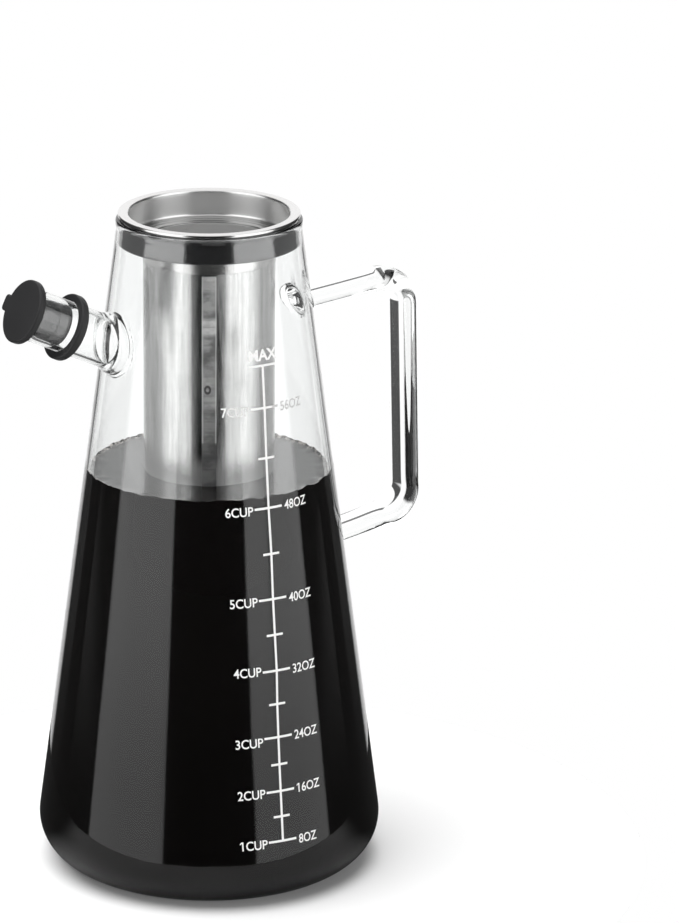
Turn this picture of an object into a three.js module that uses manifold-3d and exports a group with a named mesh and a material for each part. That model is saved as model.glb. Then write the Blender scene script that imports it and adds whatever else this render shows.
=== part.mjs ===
// Cold brew coffee maker: a conical glass carafe with a side spout and a rod handle, a steel filter
// basket that lifts out on its silicone seal, and a stopper that pulls out of the spout.
// Millimetres, +Z up. The origin is the centre of the flat glass base, on the table.
// The handle stands at +X and the spout at -X.
import * as THREE from "three";
import { mergeVertices } from "three/addons/utils/BufferGeometryUtils.js";
import Module from "manifold-3d";

const wasm = await Module();
wasm.setup();

// Glass carafe body
const bodyHeight = 256.6; // table to the top of the rolled lip
const tableRadius = 68.6; // where the straight wall's line would meet the table
const mouthRadius = 34.6; // where the same line reaches the top of the lip
const glassWall = 1.8;
const glassFloor = 4;
const cornerRadius = 17.6; // between the base and the wall
const lipHeight = 4;
const lipReach = 0.8; // how far the lip stands out from the wall's line
const lipCrown = 1.3;

// Glass spout, on an axis that leaves the wall upwards
const spoutDrop = 44.6; // top of the lip down to where the axis crosses the outside of the wall
const spoutRise = THREE.MathUtils.degToRad(25.7);
const spoutReach = 39.5; // wall to the mouth, along the axis
const spoutRadius = 9.8;
const spoutWall = 1.9;
const weldRadius = 13.8; // of the weld where it meets the wall
const weldHeight = 6; // how far the weld climbs, square to the wall
const weldTaper = 5;

// Silicone drip ring round the spout
const ringRadius = 12.8;
const ringWidth = 3.3;
const ringFromWall = 20.5; // wall to the near face, along the axis
const ringEdge = 0.5;

// Spout stopper
const plugLength = 15;
const plugGrooveDepth = 0.5;
const plugGrooveWidth = 0.8;
const plugGroovePlace = 8.9; // cap to the middle of the groove
const plugChamfer = 0.8;
const capRadius = 12.3;
const capThickness = 3;
const capEdge = 0.6;
const tabWidth = 6.4;
const tabReach = 2.8; // how far the pull tab stands out from the cap

// Glass handle, an oval rod bent in the plane of the spout and the carafe's axis
const handleWidth = 16.4; // across the plane
const handleThickness = 9;
const topWeldDrop = 37.7; // top of the lip down to the rod's middle where it meets the wall
const bottomWeldDrop = 134.3;
const gripTopDrop = 32.9; // top of the lip down to where the top bar's line meets the grip's line
const gripBottomDrop = 128.3;
const gripTopReach = 84.1; // from the carafe's axis to the grip's line, at the top
const gripBottomReach = 86.8;
const handleTopBend = 9.5;
const handleBottomBend = 12;

// Filter collar, pressed steel
const flangeRadius = 34.5;
const flangeThickness = 1.2;
const flangeEdge = 0.4;
const collarMouthRadius = 30.4;
const collarSheet = 0.8;
const collarDepth = 10.4; // top of the flange to the ledge
const ledgeBend = 1.5;

// Silicone neck seal
const sealLipThickness = 0.6;
const sealLipInset = 0.5; // how far the seal's lip stops short of the flange's edge
const sealFoot = 1.2; // how far the seal reaches below the ledge
const sealChamfer = 0.5;

// Filter basket
const basketRadius = 25;
const basketSheet = 0.6;
const topBandHeight = 6.6;
const basketLength = 188; // ledge to the underside of the basket
const cupHeight = 12;
const cupBend = 3;
const seamWidth = 5.7;
const seamThickness = 0.35;
const seamMargin = 0.5; // between the seam's ends and the plain bands
const seamBearing = THREE.MathUtils.degToRad(-118);

// Clearances
const fitGap = 0.3; // between pieces that touch on the real object
const seamGap = 0.15;
const cutOverrun = 10; // how far a cutting solid runs past what it cuts

// Facets
const bodySegments = 56;
const basketSegments = 36;
const spoutSegments = 32;
const cornerSteps = 6;
const handleSteps = 40;
const handleSides = 8; // in half of the rod's section
const capSides = 16; // in half of the cap's outline
const bevelSteps = 2;

// Heights that follow from the sizes above
const spoutHeight = bodyHeight - spoutDrop;
const handleTopWeld = bodyHeight - topWeldDrop;
const handleBottomWeld = bodyHeight - bottomWeldDrop;
const gripTopHeight = bodyHeight - gripTopDrop;
const gripBottomHeight = bodyHeight - gripBottomDrop;
const sealLipBottom = bodyHeight + fitGap;
const flangeBottom = sealLipBottom + sealLipThickness;
const flangeTop = flangeBottom + flangeThickness;
const ledgeTop = flangeTop - collarDepth;
const ledgeBottom = ledgeTop - collarSheet;
const meshTop = ledgeBottom - topBandHeight;
const basketBottom = ledgeTop - basketLength;
const cupTop = basketBottom + cupHeight;
const spoutBore = spoutRadius - spoutWall;

const wallSlope = (tableRadius - mouthRadius) / bodyHeight;
const wallLean = Math.atan(wallSlope);

// Radius of the outside of the glass at a height
function outerRadius(height) {
  return tableRadius - wallSlope * height;
}

function point(radius, height) {
  return new THREE.Vector2(radius, height);
}

// Points along an elliptical arc, angles in radians from the profile's outward direction
function arc(centre, reach, rise, from, to, steps) {
  const points = [];
  for (let i = 0; i <= steps; i += 1) {
    const angle = from + ((to - from) * i) / steps;
    points.push(point(centre.x + reach * Math.cos(angle), centre.y + rise * Math.sin(angle)));
  }
  return points;
}

function turned(profile, segments) {
  return new THREE.LatheGeometry(profile, segments).rotateX(Math.PI / 2);
}

// A ring's profile ends where it starts
function turnedRing(profile, segments) {
  return turned([...profile, profile[0]], segments);
}

function bareGeometry(geometry) {
  const bare = geometry.index ? geometry.toNonIndexed() : geometry.clone();
  bare.deleteAttribute("normal");
  bare.deleteAttribute("uv");
  return mergeVertices(bare);
}

function solidOf(geometry) {
  const merged = bareGeometry(geometry);
  const mesh = new wasm.Mesh({
    numProp: 3,
    vertProperties: merged.attributes.position.array,
    triVerts: new Uint32Array(merged.index.array),
  });
  return new wasm.Manifold(mesh);
}

function geometryOf(solid) {
  const mesh = solid.getMesh();
  const geometry = new THREE.BufferGeometry();
  geometry.setAttribute("position", new THREE.BufferAttribute(mesh.vertProperties, mesh.numProp));
  geometry.setIndex(new THREE.BufferAttribute(mesh.triVerts, 1));
  geometry.computeVertexNormals();
  return geometry;
}

// Places a shape made along its own +Z on the spout's axis, its zero on the outside of the wall
function onSpout(geometry) {
  geometry.rotateY(spoutRise - Math.PI / 2);
  return geometry.translate(-outerRadius(spoutHeight), 0, spoutHeight);
}

// Places a shape made along its own +Z square to the wall, where the spout's axis crosses it
function onWall(geometry) {
  geometry.rotateY(wallLean - Math.PI / 2);
  return geometry.translate(-outerRadius(spoutHeight), 0, spoutHeight);
}

// The bore's space along the spout's axis, from inside the carafe out to a reach
function spoutBoreSolid(reach) {
  const length = reach + cutOverrun;
  const rod = new THREE.CylinderGeometry(spoutBore, spoutBore, length, spoutSegments);
  return solidOf(onSpout(rod.rotateX(Math.PI / 2).translate(0, 0, length / 2 - cutOverrun)));
}

// The space that the body fills, grown by the fit gap, for trimming what is welded to it
function bodyEnvelope() {
  const low = -cutOverrun;
  const high = bodyHeight + cutOverrun;
  const profile = [
    point(0, low),
    point(outerRadius(low) + fitGap, low),
    point(outerRadius(high) + fitGap, high),
    point(0, high),
  ];
  return solidOf(turned(profile, bodySegments));
}

function glassBody() {
  const outerCorner = point(outerRadius(cornerRadius) - cornerRadius / Math.cos(wallLean), cornerRadius);
  const innerBend = cornerRadius - glassWall;
  const innerCornerHeight = glassFloor + innerBend;
  const innerCorner = point(
    outerRadius(innerCornerHeight) - glassWall - innerBend / Math.cos(wallLean),
    innerCornerHeight,
  );
  const lipBase = bodyHeight - lipHeight;
  const lipInside = mouthRadius - glassWall;
  const lipOutside = mouthRadius + lipReach;
  const lipMiddle = point((lipInside + lipOutside) / 2, bodyHeight - lipCrown);
  const lipHalf = (lipOutside - lipInside) / 2;
  const profile = [
    point(0, 0),
    ...arc(outerCorner, cornerRadius, cornerRadius, -Math.PI / 2, wallLean, cornerSteps),
    point(outerRadius(lipBase), lipBase),
    ...arc(lipMiddle, lipHalf, lipCrown, 0, Math.PI, cornerSteps),
    ...arc(innerCorner, innerBend, innerBend, wallLean, -Math.PI / 2, cornerSteps),
    point(0, glassFloor),
  ];
  return geometryOf(solidOf(turned(profile, bodySegments)).subtract(spoutBoreSolid(cutOverrun)));
}

function glassSpout() {
  const edge = spoutWall / 2;
  const rim = point(spoutRadius - edge, spoutReach - edge);
  const tube = onSpout(
    turned(
      [
        point(0, -cutOverrun),
        point(spoutRadius, -cutOverrun),
        ...arc(rim, edge, edge, 0, Math.PI / 2, bevelSteps),
        point(0, spoutReach),
      ],
      spoutSegments,
    ),
  );
  const weldProfile = [
    point(0, -cutOverrun),
    point(weldRadius, -cutOverrun),
    ...arc(point(weldRadius, weldHeight), weldTaper, weldHeight, (3 * Math.PI) / 2, Math.PI, cornerSteps),
    point(0, weldHeight),
  ];
  const weld = onWall(turned(weldProfile, spoutSegments));
  const joined = solidOf(tube).add(solidOf(weld));
  return geometryOf(joined.subtract(spoutBoreSolid(spoutReach + cutOverrun)).subtract(bodyEnvelope()));
}

// A bend of about a quarter turn between two straight runs that meet at a corner
function bendAt(before, corner, after, radius) {
  const into = corner.clone().sub(before).normalize();
  const away = after.clone().sub(corner).normalize();
  const halfTurn = into.angleTo(away) / 2;
  const run = radius * Math.tan(halfTurn);
  const start = corner.clone().addScaledVector(into, -run);
  const end = corner.clone().addScaledVector(away, run);
  const weight = Math.tan(halfTurn / 2) / Math.tan(halfTurn);
  const pull = (4 / 3) * weight;
  return new THREE.CubicBezierCurve3(
    start,
    start.clone().lerp(corner, pull),
    end.clone().lerp(corner, pull),
    end,
  );
}

function glassHandle() {
  const gripTop = new THREE.Vector3(gripTopReach, 0, gripTopHeight);
  const gripBottom = new THREE.Vector3(gripBottomReach, 0, gripBottomHeight);
  const topWeld = new THREE.Vector3(outerRadius(handleTopWeld), 0, handleTopWeld);
  const bottomWeld = new THREE.Vector3(outerRadius(handleBottomWeld), 0, handleBottomWeld);
  const topBend = bendAt(topWeld, gripTop, gripBottom, handleTopBend);
  const bottomBend = bendAt(gripTop, gripBottom, bottomWeld, handleBottomBend);
  const inwardsFrom = (weld, corner) => {
    const direction = weld.clone().sub(corner).normalize();
    return weld.clone().addScaledVector(direction, cutOverrun);
  };
  const path = new THREE.CurvePath();
  path.add(new THREE.LineCurve3(inwardsFrom(topWeld, gripTop), topBend.v0));
  path.add(topBend);
  path.add(new THREE.LineCurve3(topBend.v3, bottomBend.v0));
  path.add(bottomBend);
  path.add(new THREE.LineCurve3(bottomBend.v3, inwardsFrom(bottomWeld, gripBottom)));
  const section = new THREE.Shape();
  section.absellipse(0, 0, handleWidth / 2, handleThickness / 2, 0, 2 * Math.PI);
  const rod = new THREE.ExtrudeGeometry(section, {
    steps: handleSteps,
    curveSegments: handleSides,
    extrudePath: path,
  });
  return geometryOf(solidOf(rod).subtract(bodyEnvelope()));
}

function spoutRing() {
  const inner = spoutRadius + fitGap;
  const near = ringFromWall;
  const far = ringFromWall + ringWidth;
  const profile = [
    point(inner, near),
    point(ringRadius - ringEdge, near),
    point(ringRadius, near + ringEdge),
    point(ringRadius, far - ringEdge),
    point(ringRadius - ringEdge, far),
    point(inner, far),
  ];
  return onSpout(turnedRing(profile, spoutSegments));
}

function stopperPlug() {
  const plugRadius = spoutBore - fitGap;
  const capFace = spoutReach + fitGap;
  const top = capFace - fitGap;
  const bottom = capFace - plugLength;
  const groove = capFace - plugGroovePlace;
  const grooveRadius = plugRadius - plugGrooveDepth;
  const profile = [
    point(0, bottom),
    point(plugRadius - plugChamfer, bottom),
    point(plugRadius, bottom + plugChamfer),
    point(plugRadius, groove - plugGrooveWidth / 2),
    point(grooveRadius, groove - plugGrooveWidth / 2),
    point(grooveRadius, groove + plugGrooveWidth / 2),
    point(plugRadius, groove + plugGrooveWidth / 2),
    point(plugRadius, top),
    point(0, top),
  ];
  return onSpout(turned(profile, spoutSegments));
}

function stopperCap() {
  const faceRadius = capRadius - capEdge;
  const halfTab = tabWidth / 2 - capEdge;
  const tabAngle = Math.asin(halfTab / faceRadius);
  const tabEnd = capRadius + tabReach - capEdge;
  const outline = new THREE.Shape();
  outline.moveTo(-halfTab, faceRadius * Math.cos(tabAngle));
  outline.absarc(0, 0, faceRadius, Math.PI / 2 + tabAngle, (5 * Math.PI) / 2 - tabAngle, false);
  outline.lineTo(halfTab, tabEnd);
  outline.lineTo(-halfTab, tabEnd);
  outline.closePath();
  const disc = new THREE.ExtrudeGeometry(outline, {
    depth: capThickness - 2 * capEdge,
    bevelThickness: capEdge,
    bevelSize: capEdge,
    bevelSegments: bevelSteps,
    curveSegments: capSides,
  });
  return onSpout(disc.translate(0, 0, spoutReach + fitGap + capEdge));
}

function filterCollar() {
  const wallOutside = collarMouthRadius + collarSheet;
  const bend = ledgeBend;
  const innerBend = bend - collarSheet;
  const corner = ledgeTop - collarSheet + bend;
  const ledgeInside = basketRadius - basketSheet;
  const profile = [
    point(ledgeInside, ledgeBottom),
    ...arc(point(wallOutside - bend, corner), bend, bend, -Math.PI / 2, 0, bevelSteps),
    point(wallOutside, flangeBottom),
    point(flangeRadius - flangeEdge, flangeBottom),
    point(flangeRadius, flangeBottom + flangeEdge),
    point(flangeRadius, flangeTop - flangeEdge),
    point(flangeRadius - flangeEdge, flangeTop),
    point(collarMouthRadius + flangeEdge, flangeTop),
    point(collarMouthRadius, flangeTop - flangeEdge),
    ...arc(point(collarMouthRadius - innerBend, corner), innerBend, innerBend, 0, -Math.PI / 2, bevelSteps),
    point(ledgeInside, ledgeTop),
  ];
  return turnedRing(profile, bodySegments);
}

function neckSeal() {
  const inside = collarMouthRadius + collarSheet + fitGap;
  const foot = ledgeTop - sealFoot;
  const neckRadius = (height) => outerRadius(height) - glassWall - fitGap;
  const lipRadius = flangeRadius - sealLipInset;
  const profile = [
    point(inside, foot),
    point(neckRadius(foot) - sealChamfer, foot),
    point(neckRadius(foot + sealChamfer), foot + sealChamfer),
    point(neckRadius(bodyHeight), bodyHeight - lipCrown),
    point(neckRadius(bodyHeight), sealLipBottom),
    point(lipRadius, sealLipBottom),
    point(lipRadius, flangeBottom),
    point(inside, flangeBottom),
  ];
  return turnedRing(profile, bodySegments);
}

function basketTube(low, high) {
  const inside = basketRadius - basketSheet;
  const profile = [
    point(inside, low),
    point(basketRadius, low),
    point(basketRadius, high),
    point(inside, high),
  ];
  return turnedRing(profile, basketSegments);
}

function filterSeam() {
  const inside = basketRadius + seamGap;
  const outside = inside + seamThickness;
  const half = seamWidth / 2 / outside;
  const section = new THREE.Shape();
  section.absarc(0, 0, outside, seamBearing - half, seamBearing + half, false);
  section.absarc(0, 0, inside, seamBearing + half, seamBearing - half, true);
  section.closePath();
  const low = cupTop + seamMargin;
  const high = meshTop - seamMargin;
  const strip = new THREE.ExtrudeGeometry(section, {
    depth: high - low,
    curveSegments: bevelSteps * 2,
    bevelEnabled: false,
  });
  return strip.translate(0, 0, low);
}

function filterCup() {
  const bend = cupBend;
  const innerBend = cupBend - basketSheet;
  const inside = basketRadius - basketSheet;
  const corner = basketBottom + bend;
  const profile = [
    point(0, basketBottom),
    ...arc(point(basketRadius - bend, corner), bend, bend, -Math.PI / 2, 0, bevelSteps * 2),
    point(basketRadius, cupTop),
    point(inside, cupTop),
    ...arc(point(inside - innerBend, corner), innerBend, innerBend, 0, -Math.PI / 2, bevelSteps * 2),
    point(0, basketBottom + basketSheet),
  ];
  return turned(profile, basketSegments);
}

function piece(name, geometry, colour, roughness, metalness) {
  const material = new THREE.MeshStandardMaterial({ color: colour, roughness, metalness });
  const mesh = new THREE.Mesh(geometry, material);
  mesh.name = name;
  return mesh;
}

const glassPiece = (name, geometry) => piece(name, geometry, 0xe9eeee, 0.03, 0);
const steelPiece = (name, geometry) => piece(name, geometry, 0xb9b9b7, 0.28, 1);
const siliconePiece = (name, geometry) => piece(name, geometry, 0x1c1c1d, 0.55, 0);

const carafe = new THREE.Group();
carafe.add(glassPiece("glass_body", glassBody()));
carafe.add(glassPiece("glass_spout", glassSpout()));
carafe.add(glassPiece("glass_handle", glassHandle()));
carafe.add(siliconePiece("spout_ring", spoutRing()));

const filter = new THREE.Group();
filter.add(steelPiece("filter_collar", filterCollar()));
filter.add(siliconePiece("neck_seal", neckSeal()));
filter.add(steelPiece("filter_top_band", basketTube(meshTop, ledgeBottom)));
filter.add(steelPiece("filter_mesh", basketTube(cupTop, meshTop)));
filter.add(steelPiece("filter_seam", filterSeam()));
filter.add(steelPiece("filter_bottom_cup", filterCup()));

const stopper = new THREE.Group();
stopper.add(siliconePiece("stopper_plug", stopperPlug()));
stopper.add(siliconePiece("stopper_cap", stopperCap()));

const coffeeMaker = new THREE.Group();
coffeeMaker.add(carafe);
coffeeMaker.add(filter);
coffeeMaker.add(stopper);

export default coffeeMaker;
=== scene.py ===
import math

import bmesh
import bpy
from bpy.props import FloatProperty, FloatVectorProperty, PointerProperty
from mathutils import Matrix, Vector, noise


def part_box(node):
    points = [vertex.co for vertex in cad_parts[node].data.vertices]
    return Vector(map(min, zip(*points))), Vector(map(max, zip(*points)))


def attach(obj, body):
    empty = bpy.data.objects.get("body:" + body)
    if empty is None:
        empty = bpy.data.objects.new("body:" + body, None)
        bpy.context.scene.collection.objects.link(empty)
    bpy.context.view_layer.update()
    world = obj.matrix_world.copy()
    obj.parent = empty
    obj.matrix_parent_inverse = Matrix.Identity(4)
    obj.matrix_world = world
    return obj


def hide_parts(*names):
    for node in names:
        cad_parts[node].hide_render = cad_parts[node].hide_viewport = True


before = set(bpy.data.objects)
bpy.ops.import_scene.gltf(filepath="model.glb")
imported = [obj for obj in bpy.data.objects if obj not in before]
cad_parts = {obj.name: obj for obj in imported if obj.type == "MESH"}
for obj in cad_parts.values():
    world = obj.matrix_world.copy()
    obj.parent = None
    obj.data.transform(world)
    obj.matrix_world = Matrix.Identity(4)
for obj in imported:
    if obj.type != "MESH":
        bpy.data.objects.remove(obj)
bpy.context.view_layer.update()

bl_info = {
    "name": "Cold Brew Coffee Maker",
    "version": (1, 0, 0),
    "blender": (4, 5, 0),
    "location": "View3D > Sidebar > Coffee Maker",
    "description": "Builds a glass cold brew carafe with its filter, its stopper and a white stage",
    "category": "Object",
}

MM = 0.001
DEGREES = 180 / math.pi
FRONT = math.radians(-118)  # polar angle of the side that shows the scale and the seam

# The carafe's body, in millimetres
BODY_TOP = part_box("glass_body")[1].z / MM
WALL_AT_TABLE = 68.6
WALL_AT_TOP = 34.6
WALL_SLOPE = (WALL_AT_TABLE - WALL_AT_TOP) / BODY_TOP
WALL_LEAN = math.atan(WALL_SLOPE)
GLASS = 1.8
GLASS_FLOOR = 4.0
BASE_CORNER = 17.6
LIP_SWELL = 0.8
LIP_ROUND = 1.3
FIT = 0.3  # gap round what is pressed into the glass

# The spout's axis leaves the wall upwards, towards -X
SPOUT_HEIGHT = 212.0
SPOUT_RISE = math.radians(25.7)
SPOUT_REACH = 39.5
SPOUT_RADIUS = 9.8
SPOUT_BORE = 7.9
# How far the tube and its bore widen at the wall, and where that starts to fade and ends
TUBE_SWELL = (1.2, 2.6, 6.8)
BORE_SWELL = (1.6, 2.4, 4.6)
FLARE_LIMIT = 0.86  # share of a weld's radius that its flare may reach

# The handle's corners as (x, z, radius), the heights of its welds and its rod
HANDLE_TOP = (83.95, 223.55, 9.5)
HANDLE_BOTTOM = (86.65, 128.45, 12.0)
HANDLE_WELDS = (218.9, 122.3)
ROD_HALF_WIDTH = 8.3
ROD_HALF_THICKNESS = 4.05
GRIP_SWELL = 0.55
ROD_ROUNDNESS = 0.94  # 1 is an ellipse, and less is squarer

# The filter
FLANGE_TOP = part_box("filter_collar")[1].z / MM
LEDGE_TOP = FLANGE_TOP - 10.4
BASKET_RADIUS = 25.0
BASKET_INSIDE = BASKET_RADIUS - 0.6
MESH_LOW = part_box("filter_mesh")[0].z / MM
MESH_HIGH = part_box("filter_mesh")[1].z / MM
BASKET_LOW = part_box("filter_bottom_cup")[0].z / MM
SEAM_BEARING = FRONT
SEAM_OUTSIDE = BASKET_RADIUS + 0.5
SPOT_WELDS = ((-2.0, 207.6), (-2.0, 195.8))  # across the seam, and up

# Marks on the basket, in metres
HOLE_PITCH = 0.00052
WEAVE_PITCH = 0.00074
PAINTED_SHEEN_HEIGHTS = (0.148, 0.158, 0.1635, 0.1715)  # heights of the painted sheen, a pale band above the coffee
SEAM_SHADE_HEIGHTS = (0.1746, 0.1758)  # heights between which painted shade comes over the seam's lower part
# Heights, and full and fading reach, of the painted highlight patches on the seam
HIGHLIGHT_PATCHES = ((0.1951, 0.0045, 0.0085), (0.2206, 0.0020, 0.0045), (0.2377, 0.0020, 0.0045))
WELD_RING = (-0.0006, 0.1962, 0.0013)  # place across and up, and radius

# The stage, in metres and degrees
CAMERA_PLACE = (-0.90298, -1.69826, 0.78573)
CAMERA_PITCH = 18.031
CAMERA_BEARING = -28.0
CAMERA_LENS = 206.44
CAMERA_SHIFT = 0.1412
LAMP_PLACE = (-0.20, 0.06, 1.35)
LAMP_AIM = (0.0, 0.0, 0.1)
LAMP_WIDTH = 1.15


# ---- Sizes and colours that a user may change


def length(name, description, default, low, high):
    return FloatProperty(
        name=name, description=description, default=default, min=low, max=high,
        subtype="DISTANCE", unit="LENGTH",
    )


def colour(name, description, default):
    return FloatVectorProperty(
        name=name, description=description, default=default, size=3, min=0.0, max=1.0,
        subtype="COLOR",
    )


def share(name, description, default, high=1.0):
    return FloatProperty(
        name=name, description=description, default=default, min=0.0, max=high, subtype="FACTOR"
    )


def strength(name, description, default, high):
    return FloatProperty(name=name, description=description, default=default, min=0.0, max=high)


class GlassSettings(bpy.types.PropertyGroup):
    """The fused glass of the body, spout and handle"""

    weld_radius: length("Handle weld", "Fillet between handle and wall", 0.0032, 0.001, 0.006)
    spout_weld_radius: length("Spout weld", "Fillet between spout and wall", 0.0012, 0.001, 0.006)
    tint: colour("Tint", "Colour of the clear glass", (0.985, 0.992, 0.990))


class CoffeeSettings(bpy.types.PropertyGroup):
    """The coffee in the carafe"""

    level: length("Level", "Height of the coffee's surface above the table", 0.1581, 0.06, 0.2)
    tint: colour("Colour", "Colour of the coffee seen through the glass", (0.0012, 0.0008, 0.0007))


class ScaleSettings(bpy.types.PropertyGroup):
    """The white measuring scale printed on the wall"""

    line_width: length("Line width", "Width of the scale's line and bars", 0.0009, 0.0004, 0.002)
    letter_height: length("Letter height", "Height of the scale's figures", 0.0036, 0.002, 0.006)
    ink: colour("Ink", "Colour of the print", (0.93, 0.93, 0.92))


class SteelSettings(bpy.types.PropertyGroup):
    """The filter's collar and basket"""

    metal: colour("Steel", "Colour of the plain steel", (0.74, 0.735, 0.73))
    mesh: colour("Mesh", "Colour of the fine mesh", (0.70, 0.70, 0.695))


class SiliconeSettings(bpy.types.PropertyGroup):
    """The black silicone parts"""

    rubber: colour("Silicone", "Colour of the ring, seal and cap", (0.012, 0.012, 0.0125))


class StageSettings(bpy.types.PropertyGroup):
    """Floor, light and camera"""

    softbox: strength("Softboxes", "Brightness of the two softboxes", 1.35, 10.0)
    inner_softbox: strength("Inner softboxes", "The same boxes in pieces behind glass", 1.9, 10.0)
    room: share("Room", "Brightness of the dark room behind the camera", 0.008)
    flank: share("Flanks", "Brightness of the sides between softboxes and background", 0.03)
    inner_flank: share("Inner flanks", "The same sides in pieces behind glass", 0.54)
    ceiling: share("Ceiling", "Brightness of the ceiling", 0.9)
    ambient: share("Ambient", "Share of the ceiling that lights matt surfaces", 0.35)
    side_fill: share("Side fill", "Share of the sides that lights matt surfaces", 1.85, 3.0)
    overhead: strength("Overhead panel", "Power of the soft panel overhead", 25.5, 100.0)
    floor_shade: share("Floor shade", "Reflectance of the pale floor", 0.84)


# ---- Node trees


def adding(operation):
    """A method that adds a Math node."""

    def method(self, *others):
        return self.math(operation, *others)

    return method


class Value:
    """An output socket. Arithmetic on it adds Math nodes to its tree."""

    def __init__(self, tree, output):
        self.tree = tree
        self.output = output

    def math(self, operation, *values):
        sockets = dict(enumerate((self, *values)))
        return self.tree.node("ShaderNodeMath", {"operation": operation}, sockets)

    __add__ = __radd__ = adding("ADD")
    __sub__ = adding("SUBTRACT")
    __mul__ = __rmul__ = adding("MULTIPLY")
    __abs__ = adding("ABSOLUTE")
    sine = adding("SINE")
    cosine = adding("COSINE")
    root = adding("SQRT")
    most = adding("MAXIMUM")
    above = adding("GREATER_THAN")
    below = adding("LESS_THAN")
    bearing = adding("ARCTAN2")

    def __rsub__(self, other):
        return self.tree.node("ShaderNodeMath", {"operation": "SUBTRACT"}, {0: other, 1: self})

    def reach(self, other):
        """The distance of a point whose two places these are."""
        return (self * self + other * other).root()

    def rises(self, low, high):
        """0 up to low, 1 from high, and smooth between them."""
        return self.tree.node(
            "ShaderNodeMapRange",
            {"interpolation_type": "SMOOTHSTEP"},
            {"Value": self, "From Min": low, "From Max": high, "To Min": 0.0, "To Max": 1.0},
        )

    def falls(self, low, high):
        return 1 - self.rises(low, high)

    def band(self, start, full, fade, end):
        """1 from full to fade, and 0 before start and after end."""
        return self.rises(start, full) * self.falls(fade, end)

    def scaled(self, low, high):
        """The value's range from 0 to 1 set to run from low to high."""
        sockets = {"Value": self, "To Min": low, "To Max": high}
        return self.tree.node("ShaderNodeMapRange", {}, sockets)


class Tree:
    """The nodes of one material or world."""

    def __init__(self, owner):
        owner.use_nodes = True
        self.owner = owner
        self.tree = owner.node_tree
        self.tree.nodes.clear()

    def node(self, kind, settings=None, inputs=None, output=0):
        made = self.tree.nodes.new(kind)
        for name, setting in (settings or {}).items():
            setattr(made, name, setting)
        for name, given in (inputs or {}).items():
            if isinstance(given, Value):
                self.tree.links.new(given.output, made.inputs[name])
            else:
                made.inputs[name].default_value = given
        return Value(self, made.outputs[output] if made.outputs else None)

    def finished(
        self, sockets, shader="ShaderNodeBsdfPrincipled", output="ShaderNodeOutputMaterial"
    ):
        """The material or world, once a shader with these sockets feeds its output node."""
        self.node(output, {}, {"Surface": self.node(shader, {}, sockets)})
        return self.owner

    def ray(self, fact):
        """A fact about the ray that meets the surface."""
        return self.node("ShaderNodeLightPath", output=fact)

    def axes(self, vector):
        split = self.node("ShaderNodeSeparateXYZ", {}, {"Vector": vector}).output.node
        return [Value(self, split.outputs[i]) for i in range(3)]

    def noise(self, vector, scale, detail=3.0, roughness=0.5, stretch=None):
        if stretch:
            sockets = {0: vector, 1: stretch}
            vector = self.node("ShaderNodeVectorMath", {"operation": "MULTIPLY"}, sockets)
        return self.node(
            "ShaderNodeTexNoise",
            {"noise_dimensions": "3D"},
            {"Vector": vector, "Scale": scale, "Detail": detail, "Roughness": roughness},
        )

    def mixed(self, amount, first, second):
        """Two colours mixed by a value."""
        sockets = {0: amount, 6: first, 7: second}
        return self.node("ShaderNodeMix", {"data_type": "RGBA"}, sockets, output=2)

    def tinted(self, amount, tint, low, high):
        """A colour at a brightness from low to high."""
        return self.mixed(amount, shaded(tint, low), shaded(tint, high))

    def bump(self, height, strength, distance):
        sockets = {"Height": height, "Strength": strength, "Distance": distance}
        return self.node("ShaderNodeBump", {}, sockets)


def opaque(tint):
    return (*tint, 1.0)


def grey(level):
    return opaque([level] * 3)


def shaded(tint, factor):
    return opaque([min(1.0, part * factor) for part in tint])


def frontwards(x, y):
    """How far a point lies towards the front, of numbers or of values."""
    return x * math.cos(FRONT) + y * math.sin(FRONT)


def sideways(x, y):
    """How far a point lies to the right of the front."""
    return y * math.cos(FRONT) - x * math.sin(FRONT)


def chequer(along, up, pitch):
    """Humps and hollows in rows, a pitch apart both ways."""
    return (along * (2 * math.pi / pitch)).sine() * (up * (2 * math.pi / pitch)).sine()


def painted(name):
    """A new material's tree, and a point of the piece in its own frame, in metres."""
    tree = Tree(bpy.data.materials.new(name))
    return tree, tree.node("ShaderNodeTexCoord", output="Object")


# ---- Mesh tools, in millimetres until a mesh is made


def eased(part):
    """0 up to 0, 1 from 1, and smooth between them."""
    part = min(1.0, max(0.0, part))
    return part * part * (3 - 2 * part)


def outer_radius(height):
    return WALL_AT_TABLE - WALL_SLOPE * height


def arc(centre, reach, rise, start, end, steps):
    """Points along an elliptical arc, with angles in radians."""
    turns = [start + (end - start) * i / steps for i in range(steps + 1)]
    return [(centre[0] + reach * math.cos(t), centre[1] + rise * math.sin(t)) for t in turns]


def rounded(corners, steps=6, closed=True):
    """A profile whose corners (x, y, radius) are rounded off."""
    points = []
    count = len(corners)
    for i, (x, y, radius) in enumerate(corners):
        here = Vector((x, y))
        if radius == 0 or (not closed and i in (0, count - 1)):
            points.append((x, y))
            continue
        before = (Vector(corners[i - 1][:2]) - here).normalized()
        after = (Vector(corners[(i + 1) % count][:2]) - here).normalized()
        half = before.angle(after) / 2
        run = radius / math.tan(half)
        centre = here + (before + after).normalized() * (radius / math.sin(half))
        start = here + before * run - centre
        end = here + after * run - centre
        sweep = math.atan2(start.x * end.y - start.y * end.x, start.dot(end))
        for k in range(steps + 1):
            spot = Matrix.Rotation(sweep * k / steps, 2) @ start
            points.append((centre.x + spot.x, centre.y + spot.y))
    return points


def divided(points, spacing, closed=False):
    """The same line with no step longer than spacing."""
    result = []
    ends = list(points[1:]) + ([points[0]] if closed else [])
    for a, b in zip(points, ends):
        steps = max(1, math.ceil(math.dist(a, b) / spacing))
        result += [tuple(p + (q - p) * k / steps for p, q in zip(a, b)) for k in range(steps)]
    if not closed:
        result.append(tuple(points[-1]))
    return result


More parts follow.
